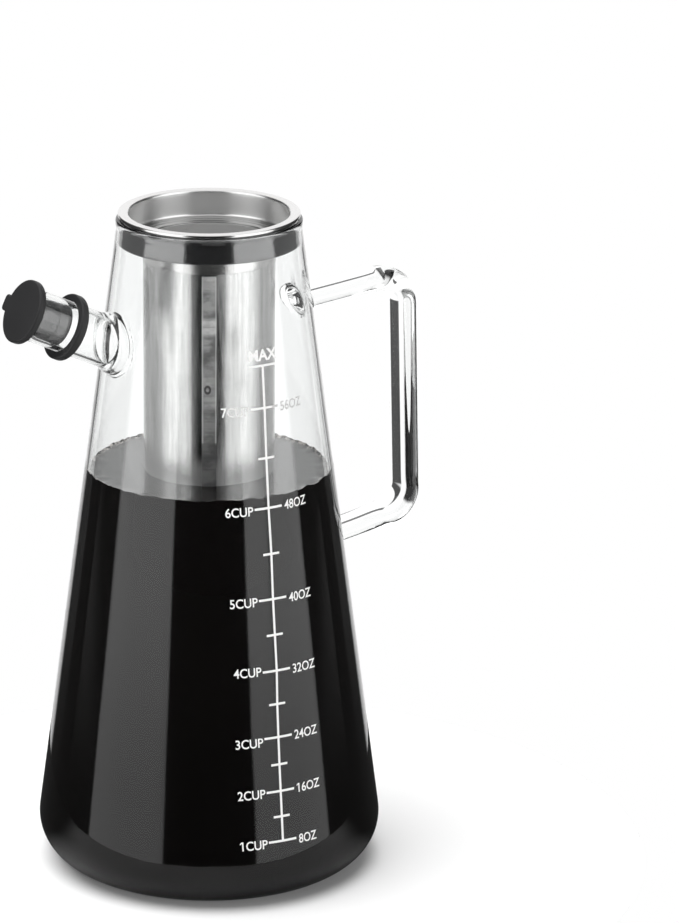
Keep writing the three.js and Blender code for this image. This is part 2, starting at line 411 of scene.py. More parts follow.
def skinned(shell, rings, closed=False, capped=False):
    """Joins rings of vertices with faces. A ring may be one vertex repeated."""
    count = len(rings[0])
    for low, high in zip(rings, rings[1:] + rings[:1] if closed else rings[1:]):
        for i in range(count):
            j = (i + 1) % count
            corners = [low[i], low[j], high[j], high[i]]
            kept = [v for k, v in enumerate(corners) if v not in corners[:k]]
            if len(kept) > 2:
                shell.faces.new(kept)
    if capped:
        shell.faces.new(list(reversed(rings[0])))
        shell.faces.new(rings[-1])
    bmesh.ops.recalc_face_normals(shell, faces=shell.faces)
    return shell


def turned(profile, segments, closed=True):
    """Turns a profile of (radius, height) about Z. A point on the axis becomes one vertex."""
    shell = bmesh.new()
    turns = [2 * math.pi * i / segments for i in range(segments)]
    rings = []
    for radius, height in profile:
        if radius < 1e-6:
            rings.append([shell.verts.new((0, 0, height))] * segments)
        else:
            circle = [(radius * math.cos(t), radius * math.sin(t), height) for t in turns]
            rings.append([shell.verts.new(point) for point in circle])
    return skinned(shell, rings, closed)


def four_sided(inner, outer, low, high, radii):
    """The corners of a plain section, from its inner low one round by the outside."""
    corners = ((inner, low), (outer, low), (outer, high), (inner, high))
    return [(*corner, radius) for corner, radius in zip(corners, radii)]


def turned_band(corners, spacing, segments, steps=5):
    """A ring turned from a closed profile with rounded corners."""
    return turned(divided(rounded(corners, steps), spacing, closed=True), segments)


def swept(rings):
    """A closed tube through rings of points, with flat ends."""
    shell = bmesh.new()
    return skinned(shell, [[shell.verts.new(p) for p in ring] for ring in rings], capped=True)


def on_spout(shell):
    """Moves a shape made along its own +Z onto the spout's axis."""
    turn = Matrix.Rotation(SPOUT_RISE - math.pi / 2, 4, "Y")
    spot = Matrix.Translation((-outer_radius(SPOUT_HEIGHT), 0, SPOUT_HEIGHT))
    bmesh.ops.transform(shell, matrix=spot @ turn, verts=shell.verts)
    return shell


def in_scene(name, data):
    """A new object of this name in the scene, with a mesh, curve, lamp or camera as its data."""
    made = bpy.data.objects.new(name, data)
    bpy.context.scene.collection.objects.link(made)
    return made


def as_object(name, shell):
    """Puts a shape made in millimetres into the scene in metres."""
    bmesh.ops.transform(shell, matrix=Matrix.Scale(MM, 4), verts=shell.verts)
    mesh = bpy.data.meshes.new(name)
    shell.to_mesh(mesh)
    shell.free()
    return in_scene(name, mesh)


def evaluated(made):
    """The mesh of an object with its modifiers or letters worked out."""
    graph = bpy.context.evaluated_depsgraph_get()
    return bpy.data.meshes.new_from_object(made.evaluated_get(graph))


def combined(made, other, operation):
    """Joins two closed solids, or cuts one with the other."""
    step = made.modifiers.new("combine", "BOOLEAN")
    step.operation = operation
    step.solver = "EXACT"
    step.object = other
    mesh = evaluated(made)
    made.modifiers.clear()
    made.data = mesh
    bpy.data.objects.remove(other, do_unlink=True)
    if not mesh.polygons:
        raise RuntimeError(f"{made.name} came out empty from a boolean")


def placed(made, body, paints, nodes=(), sharp_degrees=35.0):
    """Gives a piece its shading, materials and body, and hides the CAD nodes it stands for."""
    mesh = made.data
    mesh.polygons.foreach_set("use_smooth", [True] * len(mesh.polygons))
    mesh.set_sharp_from_angle(angle=math.radians(sharp_degrees))
    mesh.materials.clear()
    for paint in paints:
        mesh.materials.append(paint)
    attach(made, body)
    if nodes:
        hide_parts(*nodes)


# ---- Finishes


def glass_material(settings):
    """Drawn glass with a trace of dust, and a painted glow where rays stay trapped in the handle's
    upper corner.
    """
    tree, spot = painted("clear_glass")
    x, _, z = tree.axes(spot)
    drawn = tree.noise(spot, 34.0, 2.0, stretch=(1.0, 1.0, 0.35))
    dust = tree.noise(spot, 260.0, 4.0, 0.6).rises(0.62, 0.86)
    # Painted glow: pale emission where rays stay trapped in the handle's upper corner
    painted_corner_glow = tree.ray("Glossy Depth").above(3.5) * x.rises(0.074, 0.077) * z.rises(0.209, 0.213)
    return tree.finished({
        "IOR": 1.47,
        "Transmission Weight": 1.0,
        "Emission Strength": 1.0,
        "Base Color": opaque(settings.tint),
        "Emission Color": tree.mixed(painted_corner_glow, grey(0.0), grey(0.8)),
        "Roughness": dust * 0.004,
        "Normal": tree.bump(drawn, 0.10, 0.0012),
    })


def coffee_body_material(settings):
    """Near black, a little clearer at the bottom where no gloss lies on it."""
    tree, spot = painted("coffee_in_glass")
    cloud = tree.noise(spot, 22.0, 2.0)
    height = tree.axes(spot)[2]
    return tree.finished({
        "IOR": 1.33,
        "Specular IOR Level": 0.1,
        "Coat Roughness": 0.03,
        "Base Color": tree.tinted(cloud, settings.tint, 0.7, 1.3),
        "Roughness": cloud.scaled(0.35, 0.5),
        "Coat Weight": height.rises(0.03, 0.14) * 0.38,
    })


def coffee_surface_material(settings):
    """Dark and mirror-like, with a rim of froth against the glass."""
    tree, spot = painted("coffee_surface")
    x, y, _ = tree.axes(spot)
    ripple = tree.noise(spot, 45.0, 2.0)
    edge = outer_radius(settings.level / MM) - GLASS
    foam = tree.noise(spot, 420.0, 3.0, 0.6).rises(0.42, 0.62)
    rim = x.reach(y).rises((edge - 2.2) * MM, (edge - 0.4) * MM) * foam
    return tree.finished({
        "IOR": 1.95,
        "Specular IOR Level": 0.9,
        "Base Color": tree.mixed(rim, opaque(settings.tint), opaque((0.42, 0.40, 0.38))),
        "Roughness": rim.scaled(0.02, 0.5),
        "Normal": tree.bump(ripple, 0.06, 0.001),
    })


def ink_material(settings):
    """White print. In the row of the seventh cup it is darker in part, and darkest at its right
    end.
    """
    tree, spot = painted("white_print")
    x, y, z = tree.axes(spot)
    wear = tree.noise(spot, 900.0, 3.0)
    side = sideways(x, y).bearing(frontwards(x, y)) * DEGREES
    row = z.band(0.186, 0.188, 0.199, 0.201)
    # Parts of the seventh cup's row are darker
    darker_middle = row * side.above(8.6) * side.below(20.5)
    darker_end = row * side.above(33.0)
    ink = tree.tinted(wear, settings.ink, 0.94, 1.04)
    ink = tree.mixed(darker_middle, ink, shaded(settings.ink, 0.82))
    return tree.finished({
        "Base Color": tree.mixed(darker_end, ink, shaded(settings.ink, 0.62)),
        "Roughness": wear.scaled(0.45, 0.6),
    })


def spun_steel_material(name, tint, roughness, factor, painted_light_within, painted_shade_within=0.0, rotation=0.25):
    """Steel brushed round the upright axis, with painted light within one radius and painted shade
    within another.
    """
    tree, spot = painted(name)
    x, y, z = tree.axes(spot)
    radius = x.reach(y)
    sockets = {"X": radius * 2200.0, "Y": z * 2200.0, "Z": y.bearing(x) * 1.5}
    brush = tree.noise(tree.node("ShaderNodeCombineXYZ", {}, sockets), 1.0, 3.0, 0.6)
    smear = tree.noise(spot, 55.0, 2.0)
    # Painted light: paler, rougher steel within one radius; painted shade within another
    pale = radius.falls(painted_light_within, painted_light_within + 0.0003)
    shade = radius.falls(painted_shade_within - 0.0004, painted_shade_within)
    steel = tree.tinted(brush, tint, 0.93 * factor, 1.05 * factor)
    steel = tree.mixed(pale * 0.9, steel, opaque((0.97, 0.97, 0.965)))
    return tree.finished({
        "Metallic": 1.0,
        "Anisotropic": 0.7,
        "Anisotropic Rotation": rotation,
        # Painted shade darkens the steel within its radius
        "Base Color": tree.mixed(shade * 0.6, steel, grey(0.05)),
        "Roughness": brush * 0.06 + smear.scaled(*roughness) + pale * 0.10,
        "Normal": tree.bump(brush, 0.08, 0.0002),
    })


def mesh_material(settings):
    """Fine etched mesh: rows of pinholes in a bright sheet, with faint streaks down the tube,
    painted shade, a painted glow, a painted highlight band and a painted sheen.
    """
    tree, spot = painted("fine_mesh")
    x, y, z = tree.axes(spot)
    along = y.bearing(x) * (BASKET_RADIUS * MM)
    across = along - SEAM_BEARING * BASKET_RADIUS * MM
    holes = chequer(along, z, HOLE_PITCH).rises(0.12, 0.75)
    streaks = tree.noise(spot, 620.0, 3.0, 0.65, (1.0, 1.0, 0.06)).rises(0.25, 0.75)
    rows = tree.noise(spot, 1500.0, 2.0, stretch=(0.05, 0.05, 1.0))
    inside = x.reach(y).falls((BASKET_RADIUS - 0.5) * MM, (BASKET_RADIUS - 0.2) * MM)
    # Painted shade before the seam, and a painted glow and then a painted highlight band after it
    painted_seam_shade = across.band(-0.0072, -0.0060, -0.0031, -0.0027)
    painted_glow_band = across.band(0.0028, 0.0031, 0.0052, 0.0075)
    # Painted highlight band further past the seam
    bright = across.band(0.0056, 0.0066, 0.0070, 0.0110)
    metal = tree.tinted(streaks, settings.mesh, 0.76, 1.08)
    metal = tree.mixed(rows * 0.35, metal, shaded(settings.mesh, 0.55))
    metal = tree.mixed(painted_seam_shade * 0.5, metal, grey(0.08))
    # Painted shade: a little darker towards the bottom
    metal = tree.mixed(z.falls(0.178, 0.214) * 0.10, metal, grey(0.03))
    # Painted glow: the mesh emits light in rows on its inside and just past the seam
    through = tree.mixed(rows, grey(0.08), grey(0.17))
    glow = tree.mixed(inside.most(painted_glow_band * streaks), grey(0.0), through)
    glow = tree.mixed(bright, glow, grey(0.2))
    # Painted sheen: a pale glowing band on the outside just above the coffee
    painted_sheen = z.band(*PAINTED_SHEEN_HEIGHTS) * (1 - inside)
    return tree.finished({
        "Metallic": 1.0,
        "Anisotropic": 0.7,
        "Anisotropic Rotation": 0.25,
        "Emission Strength": 1.0,
        "Base Color": tree.mixed(holes * 0.75, metal, grey(0.10)),
        "Emission Color": tree.mixed(painted_sheen * 0.65, glow, grey(0.14)),
        "Roughness": streaks.scaled(0.17, 0.25) * z.rises(0.155, 0.190).scaled(0.5, 1.0),
        "Normal": tree.bump(chequer(along, z, WEAVE_PITCH), 0.35, 0.00004),
    })


def seam_material(settings):
    """The welded overlap: duller, with smudges, toothed edges and the ring of a spot weld, painted
    highlights in patches and along its edges, and painted shade lower down.
    """
    tree, spot = painted("welded_seam")
    x, y, z = tree.axes(spot)
    across = y.bearing(x) * (SEAM_OUTSIDE * MM) - SEAM_BEARING * SEAM_OUTSIDE * MM
    smudge = tree.noise(spot, 150.0, 3.0, 0.6, stretch=(0.6, 0.6, 1.0))
    bands = tree.noise(spot, 700.0, 2.0, stretch=(0.02, 0.02, 1.0)).rises(0.5, 0.7)
    grain = tree.noise(spot, 1500.0, 2.0)
    edge_glints = (z * (2 * math.pi / WEAVE_PITCH)).sine().rises(-0.2, 0.4)
    edge_glints = edge_glints * abs(across).rises(0.0021, 0.0024)
    ring_across, ring_up, ring_radius = WELD_RING
    ring = ((across - ring_across) * math.sqrt(1.8)).reach(z - ring_up)
    weld = abs(ring - ring_radius).falls(0.0003, 0.0007)
    low, middle, high = (abs(z - up).falls(full, end) for up, full, end in HIGHLIGHT_PATCHES)
    # Smudges, and painted highlights in three patches
    bright = smudge.rises(0.36, 0.62) * 0.45 + low.most(middle).most(high) * 0.5
    # Painted shade over the seam's lower part
    below = z.falls(*SEAM_SHADE_HEIGHTS)
    metal = tree.tinted(bright, settings.metal, 0.30, 1.15)
    metal = tree.mixed(bands * 0.3, metal, shaded(settings.metal, 0.2))
    # Painted shade: darker towards the bottom
    metal = tree.mixed(z.rises(0.186, 0.226).scaled(0.45, 0.0), metal, grey(0.02))
    metal = tree.mixed(below * 0.5, metal, grey(0.06))
    # Painted glints along the toothed edges, above the painted shade
    metal = tree.mixed(edge_glints * (1 - below), metal, shaded(settings.metal, 1.3))
    return tree.finished({
        "Metallic": 0.45,
        "Base Color": tree.mixed(weld * 0.85, metal, grey(0.03)),
        "Roughness": grain.scaled(0.48, 0.62),
        "Normal": tree.bump(grain, 0.25, 0.0001),
    })


def silicone_material(name, settings, roughness, factor=1.0, ior=1.43):
    """Moulded silicone with a faint bloom and a fine grain."""
    tree, spot = painted(name)
    grain = tree.noise(spot, 2600.0, 2.0)
    bloom = tree.noise(spot, 60.0, 3.0)
    return tree.finished({
        "IOR": ior,
        "Base Color": tree.tinted(bloom, settings.rubber, 0.85 * factor, 1.35 * factor),
        "Roughness": bloom.scaled(*roughness),
        "Normal": tree.bump(grain, 0.10, 0.00008),
    })


# ---- Glass


def wall_distance(x, y, z):
    """How far a point is outside the wall, square to it."""
    return (math.hypot(x, y) - outer_radius(z)) * math.cos(WALL_LEAN)


def filleted(point, centre, radius, depth=0.0):
    """Moves a point away from its tube's centre, so that the tube flares into the wall.

    At a depth, it flares into a face that much inside the wall."""
    away = point - centre
    distance = min(radius, max(0.0, wall_distance(*point) + depth))
    part = 1 - distance / radius
    flare = radius * (1 - math.sqrt(max(0.0, 1 - part * part)))
    return point + away.normalized() * min(flare, radius * FLARE_LIMIT)


def drawn_out(point, centre, step, near, far):
    """Widens a tube by a step as far as near from the wall, and by less up to far."""
    part = eased((far - wall_distance(*point)) / (far - near))
    return point + (point - centre).normalized() * step * part


def hollow_corner(sunk=0.0):
    """The carafe's inner corner from floor to wall, sunk a little into the glass."""
    bend = BASE_CORNER - GLASS
    height = GLASS_FLOOR + bend
    centre = (outer_radius(height) - GLASS - bend / math.cos(WALL_LEAN), height)
    return arc(centre, bend + sunk, bend + sunk, -math.pi / 2, WALL_LEAN, 18)


def glass_body_shells():
    """The body's outside as one solid, and the hollow to cut from it."""
    centre = (outer_radius(BASE_CORNER) - BASE_CORNER / math.cos(WALL_LEAN), BASE_CORNER)
    lip_base = BODY_TOP - 4.0
    inside, lip = WALL_AT_TOP - GLASS, WALL_AT_TOP + LIP_SWELL
    middle = ((inside + lip) / 2, BODY_TOP - LIP_ROUND)
    half = (lip - inside) / 2
    swelling = [
        (outer_radius(lip_base), lip_base, 0),
        (lip - 0.05, BODY_TOP - 2.6, 1.4),
        (lip, BODY_TOP - LIP_ROUND, 0),
    ]
    outline = arc(centre, BASE_CORNER, BASE_CORNER, -math.pi / 2, WALL_LEAN, 18)
    outline += divided([outline[-1], (outer_radius(lip_base), lip_base)], 7.0)[1:]
    outline += rounded(swelling, closed=False)[1:]
    outline += arc(middle, half, LIP_ROUND, 0, math.pi / 2, 8)[1:]
    outside = turned([(0, 0), *outline, (0, BODY_TOP)], 192, closed=False)
    hollow = [(0, GLASS_FLOOR), *hollow_corner()]
    hollow += divided([hollow[-1], (inside, middle[1])], 7.0)[1:]
    hollow += arc(middle, half, LIP_ROUND, math.pi, math.pi / 2, 8)[1:-1]
    hollow += [(middle[0] - 0.02, BODY_TOP + 3), (0, BODY_TOP + 3)]
    return outside, turned(hollow, 192, closed=False)


def spout_shells(weld):
    """The spout's tube with its weld, and the bore to cut through it."""
    edge = (SPOUT_RADIUS - SPOUT_BORE) / 2
    mouth = (SPOUT_RADIUS - edge, SPOUT_REACH - edge)
    foot = Vector((-outer_radius(SPOUT_HEIGHT), 0, SPOUT_HEIGHT))
    axis = Vector((-math.cos(SPOUT_RISE), 0, math.sin(SPOUT_RISE)))

    def side(radius, start, fine):
        """A straight side in short steps near the wall, and longer ones out to the mouth."""
        line = divided([(radius, start), (radius, fine)], 0.5)
        return line + divided([(radius, fine), (radius, mouth[1])], 4.0)[1:]

    def welded(profile, radius, swell, depth):
        shell = on_spout(turned(profile, 96, closed=False))
        for vertex in shell.verts:
            centre = foot + axis * (vertex.co - foot).dot(axis)
            if (vertex.co - centre).length > radius - 0.1:
                vertex.co = filleted(drawn_out(vertex.co, centre, *swell), centre, weld, depth)
        return shell

    tube = [(0, -9.0), *side(SPOUT_RADIUS, -9.0, 16.0)]
    tube += [*arc(mouth, edge, edge, 0, math.pi / 2, 6)[1:], (0, SPOUT_REACH)]
    bore = [(0, -14.0), *side(SPOUT_BORE, -14.0, 14.0)]
    bore += arc(mouth, edge, edge, math.pi, math.pi / 2, 6)[1:-1]
    bore += [(mouth[0] - 0.02, SPOUT_REACH + 4), (0, SPOUT_REACH + 4)]
    tube_shell = welded(tube, SPOUT_RADIUS, TUBE_SWELL, 0.0)
    return tube_shell, welded(bore, SPOUT_BORE, BORE_SWELL, GLASS)


def handle_line():
    """Stations along the handle as (x, z, half thickness), from its upper weld to its lower one."""
    ends = []
    for corner, height in zip((HANDLE_TOP, HANDLE_BOTTOM), HANDLE_WELDS):
        weld = Vector((outer_radius(height), height))
        ends.append((*(weld + (weld - Vector(corner[:2])).normalized() * 4.0), 0))
    path = rounded([ends[0], HANDLE_TOP, HANDLE_BOTTOM, ends[1]], 22, closed=False)

    def beside(a, b):
        """Where the short steps at a weld give way to longer ones."""
        return tuple(Vector(a) + (Vector(b) - Vector(a)).normalized() * 13.0)

    first, last = beside(path[0], path[1]), beside(path[-1], path[-2])
    line = divided([path[0], first], 0.35)[:-1] + divided([first, *path[1:-1], last], 3.0)[:-1]
    line += divided([last, path[-1]], 0.35)
    return [(x, z, ROD_HALF_THICKNESS + GRIP_SWELL * eased((x - 66.0) / 16.0)) for x, z in line]


def handle_shell(weld):
    """The flattened rod of the handle, flared where it meets the wall."""
    stations = handle_line()
    rings = []

    def squarer(part):
        return math.copysign(abs(part) ** ROD_ROUNDNESS, part)

    for i, (x, z, half) in enumerate(stations):
        before = Vector(stations[max(0, i - 1)][:2])
        after = Vector(stations[min(len(stations) - 1, i + 1)][:2])
        along = (after - before).normalized()
        centre = Vector((x, 0, z))
        ring = []
        for k in range(64):
            turn = 2 * math.pi * k / 64
            wide = ROD_HALF_WIDTH * squarer(math.cos(turn))
            thick = half * squarer(math.sin(turn))
            spot = centre + Vector((along.y * thick, wide, -along.x * thick))
            ring.append(filleted(spot, centre, weld))
        rings.append(ring)
    return swept(rings)


class COFFEEMAKER_OT_glass(bpy.types.Operator):
    """Build the fused glass body, spout and handle"""

    bl_idname = "coffeemaker.glass"
    bl_label = "Glass Carafe"

    def execute(self, context):
        settings = context.scene.coffeemaker_glass
        outside, hollow = glass_body_shells()
        tube, bore = spout_shells(settings.spout_weld_radius / MM)
        glass = as_object("carafe_glass", outside)
        combined(glass, as_object("spout_tube", tube), "UNION")
        rod = as_object("handle_rod", handle_shell(settings.weld_radius / MM))
        combined(glass, rod, "UNION")
        combined(glass, as_object("carafe_hollow", hollow), "DIFFERENCE")
        combined(glass, as_object("spout_bore", bore), "DIFFERENCE")
        nodes = ("glass_body", "glass_spout", "glass_handle")
        placed(glass, "carafe", [glass_material(settings)], nodes, 40.0)
        glass.visible_shadow = False
        return {"FINISHED"}


# ---- Coffee


class COFFEEMAKER_OT_coffee(bpy.types.Operator):
    """Fill the carafe with coffee up to its level"""

    bl_idname = "coffeemaker.coffee"
    bl_label = "Coffee"

    def execute(self, context):
        settings = context.scene.coffeemaker_coffee
        level = settings.level / MM
        sunk = 0.1
        edge = outer_radius(level) - GLASS
        side = hollow_corner(sunk)
        side += divided([side[-1], (edge + sunk, level + 0.9)], 7.0)[1:]
        # The surface climbs a little at the glass
        climb = ((0.25, 0.72), (0.6, 0.4), (1.2, 0.16), (2.4, 0.0))
        surface = [(edge - inwards, level + rise) for inwards, rise in climb]
        surface += divided([surface[-1], (2.0, level)], 3.0)[1:]
        profile = [(0, GLASS_FLOOR - sunk), *side, *surface, (0, level)]
        shell = turned(profile, 192, closed=False)
        self.ripple(shell, level, edge)
        coffee = as_object("coffee", shell)
        paints = [coffee_body_material(settings), coffee_surface_material(settings)]
        placed(coffee, "carafe", paints)
        for face in coffee.data.polygons:
            if face.center.z > settings.level - 0.0008 and face.normal.z > 0.2:
                face.material_index = 1
        return {"FINISHED"}

    def ripple(self, shell, level, edge):
        """Gives the coffee's edge the small uneven waves of froth against the glass."""
        for vertex in shell.verts:
            x, y, z = vertex.co
            radius = math.hypot(x, y)
            if z < level - 0.5 or radius < edge - 4.0:
                continue
            turn = math.atan2(y, x)
            ring = Vector((math.cos(turn), math.sin(turn), 0.0))
            fine = noise.noise(ring * 26.0 + Vector((5.0, 0, 0)))
            wave = noise.noise(ring * 9.0) + 0.7 * fine
            near = max(0.0, (radius - edge + 4.0) / 4.0)
            vertex.co.z += near * wave * 0.75


# ---- Measuring scale

# Height, bearing from the front in degrees, left word and its rise, right word and its rise
SCALE_MARKS = (
    (208.9, 29.1, "", 0.0, "", 0.0),
    (193.0, 28.7, "7CUP", -0.5, "56OZ", -0.5),
    (155.2, 27.6, "6CUP", -0.5, "48OZ", 0.0),
    (120.5, 27.1, "5CUP", -0.4, "40OZ", -0.6),
    (93.1, 26.9, "4CUP", 0.4, "32OZ", -0.5),
    (67.6, 26.0, "3CUP", -1.3, "24OZ", -0.3),
    (46.8, 25.7, "2CUP", -0.3, "16OZ", -0.1),
    (27.5, 25.5, "1CUP", -0.5, "8OZ", -0.5),
)
SCALE_TICKS = (
    (174.1, 28.0), (137.7, 27.6), (106.8, 27.0), (80.3, 26.3), (57.1, 25.8), (37.0, 25.6),
)
MARK_HALF = 5.8
TICK_HALF = 3.4
LETTER_WIDTH = 2.72
LETTER_BOLD = 0.014


def on_wall(across, height, bearing):
    """A point just proud of the wall, across to the right of a bearing from the front."""
    radius = outer_radius(height) + 0.05
    turn = FRONT + math.radians(bearing) + across / radius
    return (radius * math.cos(turn), radius * math.sin(turn), height)


def printed_strip(shell, points, width):
    """A band of ink along points of (across, height, bearing)."""
    halves = []
    for i, (across, height, bearing) in enumerate(points):
        before, after = points[max(0, i - 1)], points[min(len(points) - 1, i + 1)]
        level = abs(after[1] - before[1]) < abs(after[0] - before[0])
        side, up = (0.0, width / 2) if level else (-width / 2, 0.0)
        pair = [on_wall(across - s * side, height - s * up, bearing) for s in (1, -1)]
        halves.append([shell.verts.new(point) for point in pair])
    for (a, b), (c, d) in zip(halves, halves[1:]):
        shell.faces.new((a, c, d, b))


def printed_bar(shell, height, bearing, half, count, width):
    steps = [half * (2 * i / count - 1) for i in range(count + 1)]
    printed_strip(shell, [(across, height, bearing) for across in steps], width)


def letter_faces(word, bold):
    """The points and faces of a word of unit size, with a serif added to a 1 at its start."""
    curve = bpy.data.curves.new("letters", "FONT")
    curve.body = word
    curve.size = 1.0
    curve.offset = bold
    curve.resolution_u = 4
    letters = in_scene("letters", curve)
    mesh = evaluated(letters)
    bpy.data.objects.remove(letters, do_unlink=True)
    points = [tuple(v.co.xy) for v in mesh.vertices]
    faces = [tuple(face.vertices) for face in mesh.polygons]
    bpy.data.meshes.remove(mesh)
    if word.startswith("1"):
        side, top = min(x for x, _ in points), max(y for _, y in points)
        faces.append(tuple(range(len(points), len(points) + 4)))
        serif = ((0, 0), (0.17, 0.13), (0.17, 0.23), (0, 0.12))
        points += [(side - left, top - down) for left, down in serif]
    return points, faces


def printed_word(shell, word, edge, middle, bearing, tall, wide, bold=LETTER_BOLD):
    """Letters of a set height and width that end at an edge, or start there if wide is negative."""
    points, faces = letter_faces(word, bold)
    left, low = (min(point[i] for point in points) for i in (0, 1))
    right, high = (max(point[i] for point in points) for i in (0, 1))
    scale_x = abs(wide) / (right - left)
    scale_y = tall / (high - low)
    start = edge - max(0.0, wide)
    made = []
    for x, y in points:
        height = middle + (y - low) * scale_y - tall / 2
        made.append(shell.verts.new(on_wall(start + (x - left) * scale_x, height, bearing)))
    for face in faces:
        shell.faces.new([made[i] for i in face])


class COFFEEMAKER_OT_scale(bpy.types.Operator):
    """Print the measuring scale on the carafe's wall"""

    bl_idname = "coffeemaker.scale"
    bl_label = "Measuring Scale"

    def execute(self, context):
        settings = context.scene.coffeemaker_scale
        width = settings.line_width / MM
        tall = settings.letter_height / MM
        shell = bmesh.new()
        for height, bearing, left, left_rise, right, right_rise in SCALE_MARKS:
            printed_bar(shell, height, bearing, MARK_HALF, 8, width)
            for word, edge, rise, sign in (
                (left, -MARK_HALF - 0.5, left_rise, 1), (right, MARK_HALF + 1.2, right_rise, -1)
            ):
                if word:
                    wide = sign * LETTER_WIDTH * len(word)
                    printed_word(shell, word, edge, height + rise, bearing, tall, wide)
        printed_word(shell, "MAX", 6.2, 212.9, 29.6, 4.4, 12.1, 0.034)
        for height, bearing in SCALE_TICKS:
            printed_bar(shell, height, bearing, TICK_HALF, 5, width)
        upright = sorted(mark[:2] for mark in (*SCALE_MARKS, *SCALE_TICKS))
        printed_strip(shell, [(0.0, height, bearing) for height, bearing in upright], width)
        bmesh.ops.recalc_face_normals(shell, faces=shell.faces)
        placed(as_object("cup_scale", shell), "carafe", [ink_material(settings)])
        return {"FINISHED"}


# ---- Filter


class COFFEEMAKER_OT_collar(bpy.types.Operator):
    """Build the pressed steel collar with its flange, wall and stepped ledge"""

    bl_idname = "coffeemaker.collar"
    bl_label = "Filter Collar"

    def execute(self, context):
        top, ledge = FLANGE_TOP, LEDGE_TOP
        profile = [
            (34.5, top - 1.2, 0.3), (34.5, top, 0.55), (30.4, top, 1.0),
            (30.4, ledge + 0.3, 1.1), (28.9, ledge + 0.3, 0.5),
            (28.5, ledge - 0.05, 0.4), (27.2, ledge - 0.05, 0.3),
            (26.9, ledge - 0.3, 0.3), (24.4, ledge - 0.3, 0.25),
            (24.4, ledge - 0.8, 0), (31.2, ledge - 0.8, 1.4), (31.2, top - 1.2, 0),
        ]
        collar = as_object("pressed_collar", turned_band(profile, 2.0, 160))
        tint = context.scene.coffeemaker_steel.metal
        paint = spun_steel_material("spun_steel", tint, (0.16, 0.22), 1.15, 30.7 * MM, 30.2 * MM)
        placed(collar, "filter", [paint], ("filter_collar",), 50.0)
        return {"FINISHED"}


class COFFEEMAKER_OT_seal(bpy.types.Operator):
    """Build the silicone neck seal"""

    bl_idname = "coffeemaker.seal"
    bl_label = "Neck Seal"

    def execute(self, context):
        settings = context.scene.coffeemaker_silicone
        foot = LEDGE_TOP - 1.2
        lip_low = BODY_TOP + FIT
        low_edge, top_edge = (outer_radius(height) - GLASS - FIT for height in (foot, BODY_TOP))
        profile = [
            (31.5, foot, 0.2), (low_edge, foot, 0.7), (top_edge, BODY_TOP - LIP_ROUND, 0.5),
            (top_edge, lip_low, 0), (34.0, lip_low, 0.28),
            (34.0, lip_low + 0.6, 0.28), (31.5, lip_low + 0.6, 0),
        ]
        seal = as_object("seal_ring", turned_band(profile, 1.5, 160))
        paint = silicone_material("seal_silicone", settings, (0.12, 0.17), ior=2.1)
        placed(seal, "filter", [paint], ("neck_seal",), 50.0)
        return {"FINISHED"}


class COFFEEMAKER_OT_basket(bpy.types.Operator):
    """Build the mesh tube, its seam, its plain band and its bottom cup"""

    bl_idname = "coffeemaker.basket"
    bl_label = "Filter Basket"

    def execute(self, context):
        settings = context.scene.coffeemaker_steel
        steel = spun_steel_material(
            "plain_steel", settings.metal, (0.13, 0.18), 0.80, 24.7 * MM, rotation=0.0
        )
        inside, outside = BASKET_INSIDE, BASKET_RADIUS
        low = BASKET_LOW
        tube = four_sided(inside, outside, MESH_LOW, MESH_HIGH, (0, 0, 0, 0))
        band = four_sided(inside, outside, MESH_HIGH, LEDGE_TOP - 0.8, (0.1, 0.15, 0.1, 0.1))
        cup = [
            (0.0, low + 0.4, 0), (18.0, low + 0.4, 1.5), (19.0, low, 1.0), (outside, low, 3.0),
            (outside, MESH_LOW, 0.15), (inside, MESH_LOW, 0.15), (inside, low + 0.6, 2.4),
            (19.2, low + 0.6, 1.0), (18.2, low + 1.0, 1.5), (0.0, low + 1.0, 0),
        ]
        cup_shell = turned(rounded(cup, 5, closed=False), 144, closed=False)
        pieces = (
            ("mesh_tube", turned_band(tube, 12.0, 144), mesh_material(settings), "filter_mesh"),
            ("plain_band", turned_band(band, 1.5, 144, steps=3), steel, "filter_top_band"),
            ("bottom_cup", cup_shell, steel, "filter_bottom_cup"),
        )
        for name, shell, paint, node in pieces:
            placed(as_object(name, shell), "filter", [paint], (node,), 50.0)
        seam = as_object("welded_strip", self.seam())
        placed(seam, "filter", [seam_material(settings)], ("filter_seam",), 40.0)
        return {"FINISHED"}

    def seam(self):
        """The overlap of the mesh sheet, with toothed edges and the dents of two spot welds."""
        low, high = MESH_LOW + 0.5, MESH_HIGH - 0.5
        rows = round((high - low) / 0.4)
        rings = []
        for i in range(rows + 1):
            height = low + (high - low) * i / rows
            reach = 2.85 if i % 2 else 2.55
            inner, outer = [], []
            for k in range(11):
                offset = reach * (k / 5 - 1)
                near = min(math.hypot(offset - x, height - z) for x, z in SPOT_WELDS)
                dent = 0.16 * math.exp(-((near / 0.8) ** 2))
                turn = SEAM_BEARING + offset / SEAM_OUTSIDE
                for line, radius in ((inner, BASKET_RADIUS + 0.15), (outer, SEAM_OUTSIDE - dent)):
                    line.append((radius * math.cos(turn), radius * math.sin(turn), height))
            rings.append(inner + outer[::-1])
        return swept(rings)


# ---- Spout ring and stopper


class COFFEEMAKER_OT_ring(bpy.types.Operator):
    """Build the silicone drip ring round the spout"""

    bl_idname = "coffeemaker.ring"
    bl_label = "Drip Ring"

    def execute(self, context):
        settings = context.scene.coffeemaker_silicone
        profile = four_sided(SPOUT_RADIUS + 0.1, 12.8, 20.5, 23.8, (0.2, 0.75, 0.75, 0.2))
        ring = as_object("drip_ring", on_spout(turned(rounded(profile, 5), 112)))
        paint = silicone_material("ring_silicone", settings, (0.46, 0.58), 1.3)
        placed(ring, "carafe", [paint], ("spout_ring",), 50.0)
        ring.visible_glossy = False
        return {"FINISHED"}


